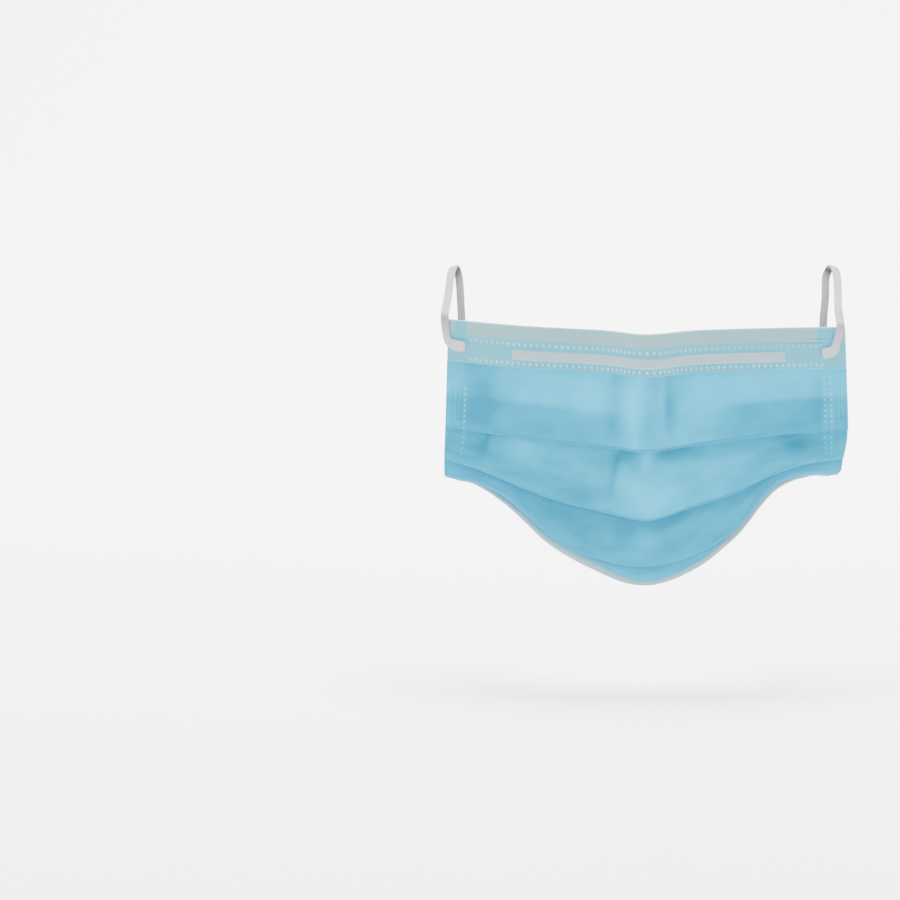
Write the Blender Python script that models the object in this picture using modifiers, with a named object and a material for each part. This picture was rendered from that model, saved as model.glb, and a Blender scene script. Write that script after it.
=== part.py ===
"""Surgical face mask with three pleats, opened as it is worn.

The frame is in metres with +Z up. The wearer's face is on the +Y side, the outer face looks towards -Y, and the
origin is on the inner face of the nose crest, at the height of the nose wire.
"""
import math
from collections import namedtuple
from functools import lru_cache

import bmesh
import bpy
import numpy as np
from mathutils import Vector

# Sheet
MASK_WIDTH = 0.1750       # along the sheet, side edge to side edge
MIDDLE_FALL = 0.0955      # top edge to hem, down the middle
SIDE_FALL = 0.0620        # top edge to the lowest fold, at the side edges
EDGE_RISE = 0.0105        # top edge above the nose wire
CHEEK_DEPTH = 0.0450      # side edges behind the nose crest
LEFT_REACH = 0.0750       # nose crest to the left edge, straight across
RIGHT_REACH = 0.0795      # nose crest to the right edge, straight across
PLY = 0.0010              # thickness of the pleated sheet
PLY_GAP = 0.0004          # air between two plies of a pleat
CLEARANCE = 0.0003        # between two separate pieces
PLEAT_LAP = 0.0140        # how far a pleat laps at the side edges
OPEN_LAP = 0.0050         # what is left of that lap where the pleat opens, in the middle

# Bindings and wire
BAND_DEPTH = 0.0160       # white strip, in front
BAND_TURN = 0.0080        # white strip, behind the top edge
HEM_DEPTH = 0.0028        # hem, in front of the bottom edge and behind it
BINDING = 0.0010          # thickness of both bindings
WIRE_LENGTH = 0.1190
WIRE_WIDTH = 0.0032
WIRE_THICKNESS = 0.0008
WIRE_SHIFT = 0.0016       # the wire lies this far towards the right
WIRE_SLOPE = 0.0016       # width of the strip's slope on each side of the wire

# Ear loops
LOOP_WIDTH = 0.0033
LOOP_THICKNESS = 0.0010
WELD_DROP = 0.0094        # upper weld below the top edge
LEFT_WELD = 0.0080        # inner end of the upper weld, inwards from the side edge
RIGHT_WELD = 0.0106
LEFT_STRAND = -0.0012     # strand at the top edge, inwards from the side edge
RIGHT_STRAND = 0.0012
LEFT_LEAN = 0.0015        # how much further inwards the strand is at the upper weld
RIGHT_LEAN = 0.0034
LOWER_WELD_LENGTH = 0.0024
LOWER_WELD_INSET = 0.0050
LOOP_REACH = 0.0600       # tip of the loop behind the top corner
LOOP_RISE = 0.0185        # tip of the loop above the top corner

# How finely the sheets are divided
COLUMNS = 38
NARROWEST_COLUMN = 0.0010
LOOP_STEPS = 48

# One row for each fold line. middle, left and right are its heights, as shares of the fall below the top edge.
# left_reach and right_reach are shares of the reach across, and depths are shares of the cheek depth. nose is how
# far the row keeps the pinched nose shape.
Section = namedtuple("Section", "name middle left right left_reach right_reach middle_depth side_depth nose")
SECTIONS = (
    Section("top_edge", 0.000, 0.000, 0.000, 0.975, 0.970, 0.00, 1.00, 1.00),
    Section("upper_fold", 0.447, 0.653, 0.623, 0.995, 1.005, -0.02, 0.98, 0.75),
    Section("middle_fold", 0.720, 0.863, 0.806, 1.000, 0.990, 0.05, 1.05, 0.35),
    Section("chin_fold", 0.916, 0.990, 0.945, 1.000, 0.980, 0.20, 1.17, 0.10),
    Section("under_turn", 0.962, 1.000, 0.955, 0.995, 0.970, 0.27, 1.27, 0.05),
    Section("hem", 1.000, 0.930, 0.880, 0.985, 0.960, 0.36, 1.37, 0.00),
)
TOP_EDGE, UPPER_FOLD, MIDDLE_FOLD, CHIN_FOLD, UNDER_TURN, HEM = range(len(SECTIONS))

# How each fold line climbs from the middle to the side edge: shares of the whole climb at even steps of the reach
Climb = namedtuple("Climb", "middle at_20 at_40 at_60 at_80 edge")
CLIMBS = {
    ("top_edge", "left"): Climb(0.00, 0.20, 0.40, 0.60, 0.80, 1.00),
    ("top_edge", "right"): Climb(0.00, 0.20, 0.40, 0.60, 0.80, 1.00),
    ("upper_fold", "left"): Climb(0.08, 0.18, 0.46, 0.80, 0.93, 1.00),
    ("upper_fold", "right"): Climb(0.08, 0.20, 0.52, 0.92, 1.06, 1.04),
    ("middle_fold", "left"): Climb(0.00, 0.15, 0.33, 0.62, 0.89, 1.02),
    ("middle_fold", "right"): Climb(0.00, 0.20, 0.43, 0.78, 0.95, 1.00),
    ("chin_fold", "left"): Climb(0.00, 0.07, 0.28, 0.77, 0.99, 1.00),
    ("chin_fold", "right"): Climb(0.00, 0.10, 0.39, 0.98, 1.09, 1.04),
    ("under_turn", "left"): Climb(0.00, 0.12, 0.34, 0.73, 0.96, 1.00),
    ("under_turn", "right"): Climb(0.00, 0.12, 0.40, 0.91, 1.05, 1.03),
    ("hem", "left"): Climb(0.00, 0.13, 0.34, 0.67, 0.90, 1.00),
    ("hem", "right"): Climb(0.00, 0.12, 0.41, 0.82, 0.98, 1.00),
}

# Direction of the top edge seen from above, in degrees away from straight across, at shares of the half width
Turn = namedtuple("Turn", "reach left right")
NOSE_TURNS = (
    Turn(0.00, 0, 0),
    Turn(0.03, 34, 26),
    Turn(0.08, 50, 48),
    Turn(0.14, 57, 54),
    Turn(0.19, 54, 51),
    Turn(0.25, 38, 42),
    Turn(0.33, 21, 27),
    Turn(0.56, 20, 25),
    Turn(0.65, 33, 25),
    Turn(1.00, 34, 25),
)

# Each pleat laps by a share of PLEAT_LAP at the side and of OPEN_LAP in the middle
Pleat = namedtuple("Pleat", "fold lap")
PLEATS = (Pleat(UPPER_FOLD, 0.90), Pleat(MIDDLE_FOLD, 0.60), Pleat(CHIN_FOLD, 0.19))

# Soft dents: where across (share of the half width) and down (in sections), their spread, and their depth
Dent = namedtuple("Dent", "across down width height depth")
DENTS = (
    Dent(-0.80, 1.35, 0.08, 0.45, 0.0008),
    Dent(0.74, 1.30, 0.08, 0.40, 0.0008),
    Dent(-0.14, 1.22, 0.08, 0.25, 0.0010),
    Dent(0.16, 1.22, 0.08, 0.25, 0.0012),
)

ROLL = 0.0015             # the top edge rises by this much to the left and sinks to the right
CHIN_ROUNDING = 0.35      # how round the lower rows are, seen from above
MIDDLE_SPREAD = 0.18      # lower rows run straight across in the middle and turn back later

HALF_WIDTH = MASK_WIDTH / 2
PLY_STEP = PLY + PLY_GAP
BINDING_OFFSET = PLY / 2 + CLEARANCE + BINDING / 2
WIRE_OFFSET = PLY / 2 + CLEARANCE + WIRE_THICKNESS / 2
OVER_WIRE = WIRE_OFFSET + WIRE_THICKNESS / 2 + CLEARANCE + BINDING / 2
LOOP_OFFSET = BINDING_OFFSET + BINDING / 2 + CLEARANCE + LOOP_THICKNESS / 2
LINE_STEPS = 200

# The free stretch of an ear loop from the top corner on. back, left and right are shares of the loop's reach, left
# and right being how far the left and the right loop lie towards +X, and rise is a share of the loop's rise.
LoopPoint = namedtuple("LoopPoint", "name back rise left right")
LOOP_POINTS = (
    LoopPoint("front_strand", 0.45, 0.43, -0.030, 0.036),
    LoopPoint("before_the_tip", 0.82, 0.80, -0.008, 0.077),
    LoopPoint("tip", 1.00, 0.94, 0.035, 0.054),
    LoopPoint("after_the_tip", 1.00, 0.74, 0.075, 0.006),
    LoopPoint("rear_strand", 0.82, 0.30, 0.078, -0.018),
    LoopPoint("behind_the_cheek", 0.63, -0.30, 0.080, -0.048),
    LoopPoint("above_the_hem", 0.42, -1.50, 0.070, -0.058),
)


def mix(first, second, share):
    return first + (second - first) * share


def rounded_slope(reach, rounding):
    """Rises from 0 to 1 over a reach of 0 to 1, straight but for a rounded start."""
    return (math.hypot(reach, rounding) - rounding) / (math.hypot(1, rounding) - rounding)


def nose_line(side):
    """The top edge seen from above: shares of the reach across and of the cheek depth, at even steps."""
    reach = np.linspace(0, 1, LINE_STEPS + 1)
    column = [getattr(turn, side) for turn in NOSE_TURNS]
    angle = np.radians(np.interp(reach, [turn.reach for turn in NOSE_TURNS], column))
    across = np.concatenate(([0], np.cumsum(np.cos(angle[1:]))))
    back = np.concatenate(([0], np.cumsum(np.sin(angle[1:]))))
    return across / across[-1], back / back[-1]


NOSE_LINES = {side: nose_line(side) for side in ("left", "right")}


def smooth_read(values, place):
    """A smooth curve through evenly spaced values, read at a place counted in values."""
    start = min(max(int(math.floor(place)), 0), len(values) - 2)
    share = place - start
    p1, p2 = values[start], values[start + 1]
    p0 = values[start - 1] if start > 0 else 2 * p1 - p2
    p3 = values[start + 2] if start + 2 < len(values) else 2 * p2 - p1
    bend = (2 * p0 - 5 * p1 + 4 * p2 - p3) * share ** 2 + (3 * p1 - p0 - 3 * p2 + p3) * share ** 3
    return p1 + 0.5 * ((p2 - p0) * share + bend)


def steady_read(values, place):
    """A curve through evenly spaced values that never swings past them, read at a place counted in values."""
    rises = [after - before for before, after in zip(values, values[1:])]
    start = min(max(int(math.floor(place)), 0), len(rises) - 1)
    share = place - start
    slopes = []
    for before, after in ((max(start - 1, 0), start), (start, min(start + 1, len(rises) - 1))):
        product = rises[before] * rises[after]
        slopes.append(2 * product / (rises[before] + rises[after]) if product > 0 else 0)
    bend = (3 * rises[start] - 2 * slopes[0] - slopes[1]) * share ** 2
    bend += (slopes[0] + slopes[1] - 2 * rises[start]) * share ** 3
    return values[start] + slopes[0] * share + bend


def section_point(section, across):
    """The point of one fold line at a share of the half width, left negative and right positive."""
    left = across < 0
    side = "left" if left else "right"
    reach = abs(across)
    nose_across, nose_back = (np.interp(reach * LINE_STEPS, range(LINE_STEPS + 1), line) for line in NOSE_LINES[side])
    chin_across = (1 + MIDDLE_SPREAD) * reach - MIDDLE_SPREAD * reach ** 3
    chin_back = rounded_slope(reach, CHIN_ROUNDING)
    full_reach = -LEFT_REACH * section.left_reach if left else RIGHT_REACH * section.right_reach
    x = mix(chin_across, nose_across, section.nose) * full_reach
    back = mix(chin_back, nose_back, section.nose)
    y = mix(section.middle_depth, section.side_depth, back) * CHEEK_DEPTH
    climb = CLIMBS[section.name, side]
    climbed = smooth_read((climb.at_20, *climb), 1 + reach * (len(climb) - 1))
    side_height = EDGE_RISE - ROLL * across - getattr(section, side) * SIDE_FALL
    middle_height = EDGE_RISE - section.middle * MIDDLE_FALL
    z = mix(middle_height, side_height, climbed)
    return x, y, z


@lru_cache(maxsize=None)
def section_points(across):
    """One column of the sheet: its points on the fold lines, as lists of x, of y and of z."""
    return tuple(zip(*(section_point(section, across) for section in SECTIONS)))


@lru_cache(maxsize=None)
def smooth_sheet(across, down):
    """The sheet without its pleats and dents, at a share of the half width and a place down the sections."""
    return Vector([steady_read(values, down) for values in section_points(across)])


def outward(across, down):
    """The direction out of the sheet, away from the wearer."""
    step = 0.01
    along = smooth_sheet(across + step, down) - smooth_sheet(across - step, down)
    fall = smooth_sheet(across, down + step) - smooth_sheet(across, down - step)
    return fall.cross(along).normalized()


def dent_depth(across, down):
    depth = 0
    for dent in DENTS:
        spread = ((across - dent.across) / dent.width) ** 2 + ((down - dent.down) / dent.height) ** 2
        depth += dent.depth * math.exp(-spread)
    return depth


def on_sheet(across, down, offset=0.0):
    """A point of the sheet, or of a piece that lies an offset outside it, seen from the wearer."""
    start = Vector((0, PLY / 2, 0))
    return smooth_sheet(across, down) + outward(across, down) * (offset - dent_depth(across, down)) - start


def fold_length(across, down):
    """How many metres of sheet lie in one section at this place."""
    step = 0.02
    return (smooth_sheet(across, down + step) - smooth_sheet(across, down - step)).length / (2 * step)


def walk(across, start, distance):
    """The place that lies a distance down the sheet from another place, or up it where the distance is negative."""
    steps = 4
    place = start
    for step in range(steps):
        middle = place + distance / steps / 2 / fold_length(across, place)
        place += distance / steps / fold_length(across, middle)
    return place


def below_edge(across, distance):
    """The place down the sections at a distance below the top edge."""
    return walk(across, TOP_EDGE, distance)


def panel_span(across, panel):
    """Where a panel comes into sight, just below the fold above it, and where it ends."""
    fold = PLEATS[panel - 1].fold
    end = PLEATS[panel].fold if panel < len(PLEATS) else HEM
    return fold + PLY_STEP / fold_length(across, fold), end


def ply_offset(across, down, panel):
    """A panel starts two plies inside the panel above it, and comes out as it nears its own fold."""
    if panel == 0:
        return 0.0
    start, end = panel_span(across, panel)
    if down < start:
        return ply_offset(across, down, panel - 1) - 2 * PLY_STEP
    return -2 * PLY_STEP * (max(end - down, 0) / (end - start)) ** 2


def hem_places(across):
    """The rows that the hem and the sheet share: the hem's edge, its middle and the sheet's own edge."""
    return [walk(across, HEM, -HEM_DEPTH), walk(across, HEM, -HEM_DEPTH / 2), HEM]


def pleat_route(across):
    """The sheet's way down one column, as places down the sections with an offset from the smooth sheet."""
    radius = PLY_STEP / 2
    half_circle = [math.radians(angle) for angle in (0, 90, 180)]
    route = [(share * UPPER_FOLD, 0.0) for share in np.linspace(0, 1, 7)[:-1]]
    for panel, pleat in enumerate(PLEATS):
        inside = walk(across, pleat.fold, -pleat.lap * mix(OPEN_LAP, PLEAT_LAP, abs(across) ** 1.5))
        middle = mix(inside, pleat.fold, 0.5)
        lip = ply_offset(across, pleat.fold, panel) - radius
        bend = ply_offset(across, inside, panel) - PLY_STEP - radius
        size = fold_length(across, pleat.fold)
        route += [(pleat.fold + radius * math.sin(turn) / size, lip + radius * math.cos(turn)) for turn in half_circle]
        route.append((middle, ply_offset(across, middle, panel) - PLY_STEP))
        size = fold_length(across, inside)
        route += [(inside - radius * math.sin(turn) / size, bend + radius * math.cos(turn)) for turn in half_circle]
        route.append((middle, ply_offset(across, middle, panel + 1)))
        start, end = panel_span(across, panel + 1)
        rest = hem_places(across) if end == HEM else []
        places = [*np.linspace(start, rest[0] if rest else end, 4)[:-1], *rest]
        route += [(down, ply_offset(across, down, panel + 1)) for down in places]
    return route


def make_sheet(name, rows, columns, place, thickness, colour, roughness):
    """A grid whose points are placed by a function, given a wall by Solidify."""
    mesh = bpy.data.meshes.new(name)
    grid = bmesh.new()
    bmesh.ops.create_grid(grid, x_segments=columns, y_segments=rows, size=1)
    for vertex in grid.verts:
        column = round((vertex.co.x + 1) / 2 * columns)
        row = round((1 - vertex.co.y) / 2 * rows)
        vertex.co = place(column, row)
    grid.to_mesh(mesh)
    grid.free()
    mesh.shade_smooth()
    sheet = bpy.data.objects.new(name, mesh)
    wall = sheet.modifiers.new("Wall", "SOLIDIFY")
    wall.thickness = thickness
    wall.offset = 0
    material = bpy.data.materials.new(name)
    material.use_nodes = True
    shader = material.node_tree.nodes["Principled BSDF"]
    shader.inputs["Base Color"].default_value = (*colour, 1)
    shader.inputs["Roughness"].default_value = roughness
    mesh.materials.append(material)
    return sheet


def sheet_columns():
    """Shares of the half width for the sheet's columns: closer at the nose crest, and one at each end of the wire."""
    even = [2 * column / COLUMNS - 1 for column in range(COLUMNS + 1)]
    shares = [math.copysign(mix(abs(share), abs(share) ** 1.6, 0.6), share) for share in even]
    wire_ends = []
    for sign in (-1, 1):
        end = WIRE_SHIFT + sign * (WIRE_LENGTH / 2 + CLEARANCE)
        wire_ends += [end / HALF_WIDTH, (end + sign * WIRE_SLOPE) / HALF_WIDTH]
    narrowest = NARROWEST_COLUMN / HALF_WIDTH
    kept = [share for share in shares if min(abs(share - end) for end in wire_ends) > narrowest]
    return sorted(kept + wire_ends)


SHEET_COLUMNS = sheet_columns()


def make_filter_panel():
    routes = [pleat_route(across) for across in SHEET_COLUMNS]

    def place(column, row):
        down, offset = routes[column][row]
        return on_sheet(SHEET_COLUMNS[column], down, offset)

    return make_sheet("filter_panel", len(routes[0]) - 1, len(routes) - 1, place, PLY, (0.20, 0.55, 0.70), 0.85)


def over_edge(radius):
    """A half circle round an edge: distances beyond the edge, with the offset turning from outside to inside."""
    angles = [math.radians(angle) for angle in (45, 90, 135)]
    return [(radius * math.sin(angle), radius * math.cos(angle)) for angle in angles]


def wire_cover(across):
    """How far the white strip is lifted over the wire here, from 0 past its ends to 1 along it."""
    past_end = abs(across * HALF_WIDTH - WIRE_SHIFT) - WIRE_LENGTH / 2 - CLEARANCE
    return min(max(1 - past_end / WIRE_SLOPE, 0), 1)


def make_top_binding():
    wire_half = WIRE_WIDTH / 2 + CLEARANCE
    lift = OVER_WIRE - BINDING_OFFSET
    route = [
        (BAND_DEPTH, BINDING_OFFSET, 0),
        (EDGE_RISE + wire_half + WIRE_SLOPE, BINDING_OFFSET, 0),
        (EDGE_RISE + wire_half, BINDING_OFFSET, lift),
        (EDGE_RISE - wire_half, BINDING_OFFSET, lift),
        (EDGE_RISE - wire_half - WIRE_SLOPE, BINDING_OFFSET, 0),
        (0, BINDING_OFFSET, 0),
    ]
    route += [(-beyond, offset, 0) for beyond, offset in over_edge(BINDING_OFFSET)]
    route += [(0, -BINDING_OFFSET, 0), (BAND_TURN, -BINDING_OFFSET, 0)]

    def place(column, row):
        across = SHEET_COLUMNS[column]
        distance, offset, raised = route[row]
        return on_sheet(across, below_edge(across, distance), offset + raised * wire_cover(across))

    return make_sheet("top_binding", len(route) - 1, len(SHEET_COLUMNS) - 1, place, BINDING, (0.60, 0.70, 0.72), 0.8)


def make_bottom_binding():
    routes = []
    for across in SHEET_COLUMNS:
        rows = hem_places(across)
        route = [(down, BINDING_OFFSET) for down in rows]
        route += [(walk(across, HEM, beyond), offset) for beyond, offset in over_edge(BINDING_OFFSET)]
        route += [(down, -BINDING_OFFSET) for down in reversed(rows)]
        routes.append([(down, offset + ply_offset(across, down, len(PLEATS))) for down, offset in route])

    def place(column, row):
        return on_sheet(SHEET_COLUMNS[column], *routes[column][row])

    return make_sheet("bottom_binding", len(routes[0]) - 1, len(routes) - 1, place, BINDING, (0.55, 0.65, 0.68), 0.8)


def make_nose_wire():
    ends = [(WIRE_SHIFT + sign * WIRE_LENGTH / 2) / HALF_WIDTH for sign in (-1, 1)]
    columns = [ends[0], *(across for across in SHEET_COLUMNS if ends[0] < across < ends[1]), ends[1]]

    def place(column, row):
        across = columns[column]
        distance = EDGE_RISE + (row - 0.5) * WIRE_WIDTH
        return on_sheet(across, below_edge(across, distance), WIRE_OFFSET)

    return make_sheet("nose_wire", 1, len(columns) - 1, place, WIRE_THICKNESS, (0.55, 0.55, 0.53), 0.5)


def loop_route(side):
    """Points along an ear loop, each with the direction that its outer face looks in."""
    sign = -1 if side == "left" else 1
    weld = LEFT_WELD if side == "left" else RIGHT_WELD
    strand = LEFT_STRAND if side == "left" else RIGHT_STRAND
    turn = strand + (LEFT_LEAN if side == "left" else RIGHT_LEAN)
    bend = LOOP_WIDTH / 2
    welded = []

    def lie_on_sheet(inset, down, offset):
        across = sign * (1 - max(inset, 0) / HALF_WIDTH)
        edge = (on_sheet(sign, down) - on_sheet(0.98 * sign, down)).normalized()
        spot = on_sheet(across, down, offset) - edge * min(inset, 0)
        welded.append((spot, outward(across, down)))

    lie_on_sheet(weld, below_edge(sign, WELD_DROP), LOOP_OFFSET)
    lie_on_sheet(mix(turn + bend, weld, 0.4), below_edge(sign, WELD_DROP), LOOP_OFFSET)
    lie_on_sheet(turn + 0.7 * bend, below_edge(sign, WELD_DROP - 0.1 * bend), LOOP_OFFSET)
    lie_on_sheet(turn, below_edge(sign, WELD_DROP - bend), LOOP_OFFSET)
    lie_on_sheet(strand, TOP_EDGE, LOOP_OFFSET)

    corner = on_sheet(sign, TOP_EDGE)
    over_edge_height = LOOP_OFFSET + LOOP_THICKNESS
    edge_x = welded[-1][0].x
    free = [Vector((edge_x, corner.y - PLY, corner.z + over_edge_height))]
    free += [
        Vector((
            corner.x + getattr(point, side) * LOOP_REACH,
            corner.y + point.back * LOOP_REACH,
            EDGE_RISE + point.rise * LOOP_RISE,
        ))
        for point in LOOP_POINTS
    ]
    across = sign * (1 - LOWER_WELD_INSET / HALF_WIDTH)
    landing = on_sheet(across, HEM + 0.1, LOOP_OFFSET + LOOP_THICKNESS)
    line = [welded[-1][0], *free, landing]
    route = welded.copy()
    for before, point, after in zip(line, free, line[2:]):
        route.append((point, Vector((1, 0, 0)).cross(after - before).normalized()))
    route.append((landing, outward(across, HEM)))
    welded.clear()
    lie_on_sheet(LOWER_WELD_INSET, walk(across, HEM, -LOOP_THICKNESS), LOOP_OFFSET)
    lie_on_sheet(LOWER_WELD_INSET, walk(across, HEM, -LOOP_THICKNESS - LOWER_WELD_LENGTH), LOOP_OFFSET)
    return route + welded


def along_route(route, steps):
    """Evenly spaced points on a smooth curve through a route, with the faces' directions turned smoothly."""
    fine = 12
    last = len(route) - 1
    places = [index / fine for index in range(last * fine + 1)]
    points = [Vector([smooth_read([spot[axis] for spot, face in route], place) for axis in range(3)])
              for place in places]
    faces = [Vector([smooth_read([face[axis] for spot, face in route], place) for axis in range(3)])
             for place in places]
    length = [0]
    for before, after in zip(points, points[1:]):
        length.append(length[-1] + (after - before).length)
    even = np.linspace(0, length[-1], steps + 1)

    def read(values):
        return [Vector([np.interp(spot, length, [value[axis] for value in values]) for axis in range(3)])
                for spot in even]

    return read(points), read(faces)


def make_ear_loop(side):
    points, faces = along_route(loop_route(side), LOOP_STEPS)

    def place(column, row):
        before = points[max(row - 1, 0)]
        after = points[min(row + 1, LOOP_STEPS)]
        across = faces[row].cross(after - before).normalized()
        return points[row] + across * (column - 0.5) * LOOP_WIDTH

    return make_sheet(f"ear_loop_{side}", LOOP_STEPS, 1, place, LOOP_THICKNESS, (0.70, 0.72, 0.71), 0.9)


def main():
    for item in list(bpy.data.objects):
        bpy.data.objects.remove(item, do_unlink=True)
    collection = bpy.data.collections.new("surgical_face_mask")
    bpy.context.scene.collection.children.link(collection)
    pieces = [make_filter_panel(), make_top_binding(), make_bottom_binding(), make_nose_wire()]
    pieces += [make_ear_loop(side) for side in ("left", "right")]
    for piece in pieces:
        collection.objects.link(piece)


main()
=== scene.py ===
# Surgical face mask, opened as it is worn: the cloth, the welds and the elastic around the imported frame
import math
from functools import lru_cache

import bmesh
import bpy
import numpy as np
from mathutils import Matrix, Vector, noise


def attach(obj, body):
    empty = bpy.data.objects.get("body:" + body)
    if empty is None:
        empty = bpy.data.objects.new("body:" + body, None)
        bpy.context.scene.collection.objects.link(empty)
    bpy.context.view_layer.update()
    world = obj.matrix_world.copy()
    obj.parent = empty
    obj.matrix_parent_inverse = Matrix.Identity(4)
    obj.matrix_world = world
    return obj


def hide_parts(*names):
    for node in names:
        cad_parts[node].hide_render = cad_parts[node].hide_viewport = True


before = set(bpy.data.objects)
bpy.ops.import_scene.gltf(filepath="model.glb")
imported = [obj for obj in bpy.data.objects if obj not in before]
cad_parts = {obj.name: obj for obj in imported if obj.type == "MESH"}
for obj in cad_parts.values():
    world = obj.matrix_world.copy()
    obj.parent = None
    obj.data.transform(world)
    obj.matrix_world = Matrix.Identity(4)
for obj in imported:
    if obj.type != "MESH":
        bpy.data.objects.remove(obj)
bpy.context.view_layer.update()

# Lengths are in metres and the same as in the frame's own sheet
mask = {
    "halfWidth": 0.0875,
    "middleFall": 0.0955,
    "sideFall": 0.0620,
    "edgeRise": 0.0105,
    "cheekDepth": 0.0450,
    "leftReach": 0.0750,
    "rightReach": 0.0795,
    "roll": 0.0015,
    "chinRounding": 0.35,
    "middleSpread": 0.18,
    "innerFace": 0.0005,    # the frame's sheet is 1 mm thick and the origin is on its inner face
    "plyStep": 0.0014,
    "sealedStep": 0.0008,   # plies lie closer where the sides are welded
    "pleatLap": 0.0140,
    "openLap": 0.0050,
    "lapEase": 1.5,         # how slowly the laps deepen from the middle to the sides
    "sealWidth": 0.0112,
    "leftCorner": 0.0024,   # rounding of the bottom corners
    "rightCorner": 0.0036,
}

# Rows of the sheet: height in the middle, at the left and at the right, reach left and right, depth in the middle
# and at the side, and how far the row keeps the pinched nose shape
sheetRows = (
    ("topEdge", 0.000, 0.000, 0.000, 0.980, 0.985, 0.00, 1.00, 1.00),
    ("upperFold", 0.447, 0.653, 0.623, 0.995, 1.005, -0.02, 0.98, 0.75),
    ("middleFold", 0.720, 0.863, 0.806, 1.000, 0.990, 0.05, 1.05, 0.35),
    ("chinFold", 0.916, 0.990, 0.945, 1.000, 0.980, 0.20, 1.17, 0.10),
    ("underTurn", 0.962, 1.000, 0.955, 0.995, 0.970, 0.27, 1.27, 0.05),
    ("hem", 1.000, 0.930, 0.880, 0.985, 0.960, 0.36, 1.37, 0.00),
)
hemRow = len(sheetRows) - 1

# How each row climbs from the middle to the side, at even steps of the reach
rowClimbs = {
    ("topEdge", "left"): (0.00, 0.20, 0.40, 0.60, 0.80, 1.00),
    ("topEdge", "right"): (0.00, 0.20, 0.40, 0.60, 0.80, 1.00),
    ("upperFold", "left"): (0.08, 0.18, 0.46, 0.80, 0.93, 1.00),
    ("upperFold", "right"): (0.08, 0.20, 0.52, 0.92, 1.06, 1.04),
    ("middleFold", "left"): (0.00, 0.15, 0.33, 0.62, 0.89, 1.02),
    ("middleFold", "right"): (0.00, 0.20, 0.43, 0.78, 0.95, 1.00),
    ("chinFold", "left"): (0.00, 0.08, 0.33, 0.80, 0.99, 1.00),
    ("chinFold", "right"): (0.00, 0.11, 0.44, 0.99, 1.09, 1.04),
    ("underTurn", "left"): (0.00, 0.12, 0.34, 0.73, 0.96, 1.00),
    ("underTurn", "right"): (0.00, 0.12, 0.40, 0.91, 1.05, 1.03),
    ("hem", "left"): (0.00, 0.13, 0.34, 0.67, 0.90, 1.00),
    ("hem", "right"): (0.00, 0.12, 0.41, 0.82, 0.98, 1.00),
}

# Direction of the top edge seen from above, in degrees, at shares of the half width
noseTurns = {
    "reach": (0.00, 0.03, 0.08, 0.14, 0.19, 0.25, 0.33, 0.56, 0.65, 1.00),
    "left": (0, 34, 50, 57, 54, 38, 21, 20, 33, 34),
    "right": (0, 26, 48, 54, 51, 42, 27, 25, 25, 25),
}

# Pleats: the row where each one folds, and its share of the lap
pleats = ((1, 0.90), (2, 0.60), (3, 0.19))

# Folds and dents left from packing: the panel that shows the tone, across, down in rows, width and height of the
# spot, its lean, the side on which it ends sharply, how much darker it is painted (plies lying closer behind, with
# painted shade in hollows and creases and, below 0, painted highlight on crests and bulges), its rise in millimetres
folds = (
    (0, -0.025, 0.58, 0.060, 0.50, -0.05, 1, -0.55, 0.55),      # crest of the nose
    (0, 0.100, 0.56, 0.055, 0.36, 0.00, -1, 0.55, -0.55),       # valley beside it
    (0, -0.180, 0.66, 0.045, 0.36, -0.03, 0, 0.28, -0.35),
    (0, -0.310, 0.60, 0.085, 0.17, 0.00, 0, -0.35, 0.60),       # cheek bulges
    (0, 0.330, 0.50, 0.120, 0.20, 0.00, 0, -0.32, 0.75),
    (0, -0.800, 0.62, 0.070, 0.26, 0.00, 0, 0.38, -0.50),       # hollows beside the welds
    (0, -0.880, 0.30, 0.120, 0.14, 0.00, 0, 0.20, 0.00),
    (0, -0.480, 0.42, 0.200, 0.12, 0.00, 0, -0.15, 0.20),
    (0, 0.800, 0.32, 0.120, 0.16, 0.00, 0, -0.15, 0.20),
    (0, 0.850, 0.70, 0.030, 0.22, 0.00, 0, 0.30, -0.30),
    (1, -0.785, 1.30, 0.050, 0.34, 0.00, 1, 0.42, -0.80),       # creases under the upper fold
    (1, -0.600, 1.18, 0.140, 0.22, 0.00, 0, -0.30, 0.35),
    (1, 0.715, 1.18, 0.065, 0.28, 0.03, 0, 0.28, -0.50),
    (1, 0.450, 1.26, 0.110, 0.26, -0.05, 0, -0.22, 0.45),
    (1, -0.110, 1.03, 0.075, 0.13, 0.00, 0, 0.55, -0.75),       # pinched under the nose
    (1, 0.150, 1.03, 0.110, 0.11, 0.00, 0, 0.50, -0.70),
    (1, 0.000, 1.12, 0.030, 0.16, 0.00, 0, -0.45, 0.60),
    (1, -0.185, 1.38, 0.035, 0.34, 0.00, -1, 0.45, -0.60),
    (1, 0.010, 1.58, 0.120, 0.26, 0.00, 0, -0.45, 0.70),
    (1, -0.500, 1.80, 0.300, 0.16, 0.00, 0, 0.12, 0.00),
    (2, -0.085, 2.14, 0.045, 0.20, 0.00, 0, 0.35, -0.60),       # pinched above the chin
    (2, 0.110, 2.08, 0.090, 0.13, 0.00, 0, 0.42, -0.70),
    (2, 0.010, 2.50, 0.060, 0.26, 0.00, 0, -0.08, 0.30),
    (2, 0.300, 2.40, 0.100, 0.22, 0.00, 0, -0.12, 0.25),
    (0, 0.800, 0.125, 0.110, 0.010, -0.06, 0, 0.00, -0.40),     # wrinkles in the strip's ends
    (0, 0.860, 0.090, 0.070, 0.009, 0.05, 0, 0.00, -0.35),
    (0, -0.900, 0.150, 0.050, 0.012, 0.00, 0, 0.00, -0.30),
)


def mix(first, second, share):
    return first + (second - first) * share


def clamp(value):
    return min(max(value, 0.0), 1.0)


def softStep(value):
    value = clamp(value)
    return value * value * (3 - 2 * value)


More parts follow.
